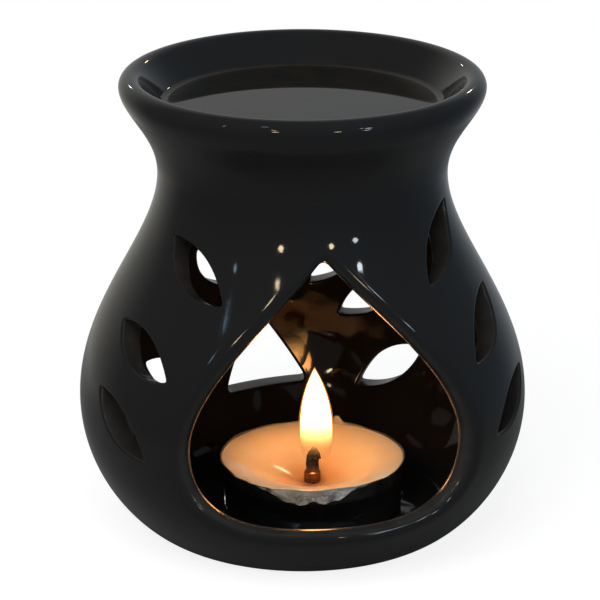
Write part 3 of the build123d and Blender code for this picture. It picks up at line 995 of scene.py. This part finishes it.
WICK_RADIUS = 0.00125
WICK_FOOT = 0.0004
WICK_UPRIGHT = COLLAR_HEIGHT + 0.0024
WICK_BEND_RADIUS = 0.0024
WICK_BEND = math.radians(62)
WICK_TIP_FROM = 0.97
WICK_TIP_SHARE = 0.55
COTTON_WAXED = (0.16, 0.07, 0.03)
CHAR_BLACK = (0.006, 0.005, 0.005)
ASH_GREY = (0.10, 0.08, 0.07)
ASH_SHARE = (-0.6, 0.5)
BURNT_STEP = (CUP_FLOOR + COLLAR_HEIGHT + 0.0004, CUP_FLOOR + COLLAR_HEIGHT + 0.0022)
COTTON_ROUGHNESS = 0.85
BRAID_HEIGHT = 0.00012


def burnt_wick():
    """Tube along an upright line and an arc to +X; its section swells as strands and frays to the tip."""
    straight = np.linspace(WICK_FOOT, WICK_UPRIGHT, 30)
    angle = np.linspace(0, WICK_BEND, 18)[1:]
    centre_x = np.concatenate([0 * straight, WICK_BEND_RADIUS * (1 - np.cos(angle))])
    centre_z = np.concatenate([straight, WICK_UPRIGHT + WICK_BEND_RADIUS * np.sin(angle)])
    lean = np.concatenate([0 * straight, angle])
    run = np.linspace(0, 1, len(lean))[:, None]
    turn = round_turn(48)
    strands = 0.10 * np.abs(np.sin(1.5 * turn + 16 * run)) + 0.07 * np.abs(np.sin(2.5 * turn - 21 * run))
    char = 0.16 * run ** 3 * np.sin(7 * turn + 40 * run) + 0.10 * run ** 2 * np.sin(3 * turn + 25 * run)
    radius = WICK_RADIUS * (0.92 + strands + char) * np.where(run > WICK_TIP_FROM, WICK_TIP_SHARE, 1)
    across = radius * np.cos(turn)
    points = np.stack([
        CUP_X + centre_x[:, None] + across * np.cos(lean)[:, None],
        CUP_Y + radius * np.sin(turn),
        CUP_FLOOR + centre_z[:, None] - across * np.sin(lean)[:, None],
    ], axis=-1)
    foot, tip = [np.repeat(points[row].mean(axis=1, keepdims=True), turn.size, axis=1) for row in ([0], [-1])]
    return np.concatenate([foot, points, tip])


def charred_cotton():
    """Cotton: waxed brown low down, black char with grey ash flecks above."""
    material, nodes, link, shader = new_material("charred_cotton")
    burnt = level_step(nodes, link, *BURNT_STEP)
    ash = mixed(nodes, link, mottle(nodes, 1500, *ASH_SHARE), CHAR_BLACK, ASH_GREY)
    link(mixed(nodes, link, burnt, COTTON_WAXED, ash), shader.inputs["Base Color"])
    shader.inputs["Roughness"].default_value = COTTON_ROUGHNESS
    link(bumped(nodes, link, mottle(nodes, 2200), BRAID_HEIGHT), shader.inputs["Normal"])
    return material


wick = mesh_piece("burnt_wick", *closed_skin(burnt_wick()), sharp_angle=70)
wick.data.materials.append(charred_cotton())
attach(wick, "tealight")
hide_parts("wick")

# Flame: burning wax vapour that stands on the wick's end, clear at its foot, white above and orange at its
# skin. It is two shells of light, one in the other, that go with the tea light.

FLAME_BASE = max(corner[2] for corner in wick.bound_box) - 0.0018
FLAME_HEIGHT = 0.0188
FLAME_SIDE = [(0.0029, 0), (0.0034, 0.0030), (0.0041, 0.0112), (0, FLAME_HEIGHT)]
FLAME_LEAN = -0.0004
FLAME_SKIN = 0.0004
FLAME_MIDDLE = 0.0008
FLAME_STEP = (FLAME_BASE - 0.0020, FLAME_BASE + 0.0165)
CORE_COLOURS = ((1, 0.50, 0.14), (1, 0.40, 0.11))
SKIN_COLOURS = ((1, 0.34, 0.05), (1, 0.36, 0.06))


def flame_shell(swell):
    """Drop shape: radius and level from one cubic, pointed at the tip, plus a skin that thins at its base."""
    side = bezier(FLAME_SIDE, count=48)
    share = side[:, 1:] / FLAME_HEIGHT
    radius = side[:, :1] + swell * np.sin(math.pi * np.clip(share, 0, 1) ** 0.6)
    level = side[:, 1:] + 1.5 * swell * share ** 2
    azimuth = round_turn(64)
    points = on_turn(azimuth, np.maximum(radius, 0), FLAME_BASE + level)
    points[..., 0] += CUP_X + FLAME_MIDDLE + FLAME_LEAN * share ** 2
    points[..., 1] += CUP_Y
    base = np.repeat(points[:1].mean(axis=1, keepdims=True), azimuth.size, axis=1)
    return np.concatenate([base, points])


def burning(name, colours, strength, gain, most):
    """Glowing vapour: colour, light and solidity grow with the level, the light as that growth to a power."""
    material, nodes, link, shader = new_material(name)
    grown = level_step(nodes, link, *FLAME_STEP)
    shader.inputs["Base Color"].default_value = (0, 0, 0, 1)
    shader.inputs["Specular IOR Level"].default_value = 0.0
    link(mixed(nodes, link, grown, *colours), shader.inputs["Emission Color"])
    heat = figured(nodes, link, "POWER", grown, gain)
    link(figured(nodes, link, "MULTIPLY", heat, strength), shader.inputs["Emission Strength"])
    link(figured(nodes, link, "MULTIPLY", grown, most), shader.inputs["Alpha"])
    return material


flame_core = mesh_piece("flame_core", *closed_skin(flame_shell(0)))
flame_core.data.materials.append(burning("flame_white", CORE_COLOURS, strength=64, gain=2.0, most=1.0))
flame_skin = mesh_piece("flame_skin", *closed_skin(flame_shell(FLAME_SKIN)))
flame_skin.data.materials.append(burning("flame_orange", SKIN_COLOURS, strength=1.8, gain=0.4, most=0.35))
for shell in (flame_core, flame_skin):
    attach(shell, "tealight")

# Floor: a plain sheet of card under the pot. It takes the pot's shadow, looks white to the camera and fades
# out into the white around it.

FLOOR_SHEET = 0.26
FLOOR_DROP = 0.00002
FLOOR_FADE = (0.085, 0.20)
CARD_GREY = (0.27, 0.27, 0.27)
CARD_SEEN = (0.86, 0.86, 0.86)
CARD_ROUGHNESS = 0.9
CARD_SPECULAR = 0.1


def floor_sheet():
    """Flat round sheet: rings of points at growing radius."""
    radius = np.linspace(0, FLOOR_SHEET, 24)[:, None]
    return on_turn(round_turn(96), radius, -FLOOR_DROP)


def white_card():
    """Grey card that the camera sees as white, clear towards its edge."""
    material, nodes, link, shader = new_material("white_sheet")
    gone = distance_step(nodes, link, (0, 0, 0), *FLOOR_FADE)
    link(figured(nodes, link, "SUBTRACT", 1, gone), shader.inputs["Alpha"])
    shader.inputs["Base Color"].default_value = (*CARD_GREY, 1)
    shader.inputs["Roughness"].default_value = CARD_ROUGHNESS
    shader.inputs["Specular IOR Level"].default_value = CARD_SPECULAR
    seen_by = nodes.new("ShaderNodeLightPath")
    link(seen_by.outputs["Is Camera Ray"], shader.inputs["Emission Strength"])
    shader.inputs["Emission Color"].default_value = (*CARD_SEEN, 1)
    return material


floor = mesh_piece("floor_sheet", *closed_skin(floor_sheet()))
floor.data.materials.append(white_card())

# Light: a dim room that grows paler towards its backdrop, and that is white only where the camera looks
# straight at it. A large soft lamp above the front fills the scene without showing in the glaze, and small
# lamps in front and behind stand in the glaze as points.

LEFT_ROOM = (0.14, 0.14, 0.14)
RIGHT_ROOM = (0.14, 0.17, 0.20)
LEFT_BACKDROP = (0.48, 0.47, 0.43)
RIGHT_BACKDROP = (0.35, 0.37, 0.39)
TO_RIGHT = (-0.5, 0.5)
TO_BACK = (0.4, 1.0)

scene = bpy.context.scene
world = bpy.data.worlds.new("pale_room")
scene.world = world
world.use_nodes = True
room_nodes = world.node_tree.nodes
room_link = world.node_tree.links.new
room_nodes.clear()
direction = room_nodes.new("ShaderNodeTexCoord")
parts = room_nodes.new("ShaderNodeSeparateXYZ")
room = room_nodes.new("ShaderNodeBackground")
white = room_nodes.new("ShaderNodeBackground")
chosen = room_nodes.new("ShaderNodeMixShader")
ray = room_nodes.new("ShaderNodeLightPath").outputs
result = room_nodes.new("ShaderNodeOutputWorld")
room_link(direction.outputs["Generated"], parts.inputs["Vector"])
to_right = grown_between(room_nodes, room_link, parts.outputs["X"], *TO_RIGHT)
to_back = grown_between(room_nodes, room_link, parts.outputs["Y"], *TO_BACK)
walls = mixed(room_nodes, room_link, to_right, LEFT_ROOM, RIGHT_ROOM)
backdrop = mixed(room_nodes, room_link, to_right, LEFT_BACKDROP, RIGHT_BACKDROP)
room_link(mixed(room_nodes, room_link, to_back, walls, backdrop), room.inputs["Color"])
white.inputs["Color"].default_value = (1, 1, 1, 1)
seen = figured(room_nodes, room_link, "MAXIMUM", ray["Is Camera Ray"], ray["Is Transmission Ray"])
room_link(seen, chosen.inputs["Fac"])
room_link(room.outputs["Background"], chosen.inputs[1])
room_link(white.outputs["Background"], chosen.inputs[2])
room_link(chosen.outputs["Shader"], result.inputs["Surface"])

LAMP_AIM = Vector((0, 0, 0.05))
LAMP_MIDDLE = Vector((0, 0, 0.06))
LAMP_REACH = 1.0
WARM = (1, 0.80, 0.52)
COOL = (0.80, 0.90, 1)
YELLOW = (1, 0.86, 0.50)
BLUE = (0.45, 0.75, 1)


def lamp(name, place, across, watts, colour=(1, 1, 1), mirrored=True, tall=None):
    """Oval area lamp at a place, turned to the pot; mirrored says whether the glaze shows it."""
    data = bpy.data.lights.new(name, "AREA")
    data.shape = "ELLIPSE"
    data.size = across
    data.size_y = tall or across
    data.energy = watts
    data.color = colour
    stand = bpy.data.objects.new(name, data)
    stand.location = place
    stand.rotation_euler = (LAMP_AIM - Vector(place)).to_track_quat("-Z", "Y").to_euler()
    stand.visible_glossy = mirrored
    stand.visible_camera = False
    scene.collection.objects.link(stand)


def small_lamp(name, azimuth, elevation, across, watts, colour, tall=None):
    """Lamp a metre away, at an azimuth from the front (-Y) towards +X and an elevation, in degrees."""
    azimuth, elevation = math.radians(azimuth), math.radians(elevation)
    ahead = Vector(on_turn(azimuth, math.cos(elevation), math.sin(elevation)).tolist())
    lamp(name, LAMP_REACH * ahead + LAMP_MIDDLE, across, watts, colour, tall=tall)


lamp("soft_top", (-0.25, -0.45, 0.75), 0.8, 5.0, mirrored=False)
small_lamp("warm_left_low", -24, 16, 0.07, 0.36, WARM)
small_lamp("warm_left_high", -26, 31, 0.05, 0.15, WARM)
small_lamp("warm_right", 13, 14, 0.065, 0.28, WARM)
small_lamp("cool_right_low", 31, 10.5, 0.065, 0.22, COOL)
small_lamp("cool_right_high", 34, 24, 0.06, 0.25, COOL)
small_lamp("yellow_right", 30, 28, 0.04, 0.08, YELLOW)
small_lamp("blue_left_low", -58, 24, 0.03, 0.035, BLUE, tall=0.06)
small_lamp("blue_left_high", -59, 31.8, 0.03, 0.035, BLUE, tall=0.036)
small_lamp("blue_left_top", -38, 55, 0.05, 0.08, BLUE)
small_lamp("warm_back", 150, 26, 0.05, 0.16, WARM)
small_lamp("cool_back", 193, 22, 0.04, 0.10, COOL)

# Camera: a long lens, a little to the pot's left and about 20 degrees above level, aimed at the middle of
# the pot's height.

CAMERA_YAW = math.radians(8)
CAMERA_REACH = 0.5834
CAMERA_HEIGHT = 0.2537
AIM_LEVEL = 0.04694
AIM_LEFT = 0.0005
LENS = 181.8
CLIP_START = 0.01

camera_data = bpy.data.cameras.new("camera")
camera_data.lens = LENS
camera_data.clip_start = CLIP_START
camera = bpy.data.objects.new("camera", camera_data)
camera.location = on_turn(-CAMERA_YAW, CAMERA_REACH, CAMERA_HEIGHT)
aim = Vector((-AIM_LEFT * math.cos(CAMERA_YAW), AIM_LEFT * math.sin(CAMERA_YAW), AIM_LEVEL))
camera.rotation_euler = (aim - camera.location).to_track_quat("-Z", "Y").to_euler()
scene.collection.objects.link(camera)
scene.camera = camera
scene.view_settings.view_transform = "Standard"
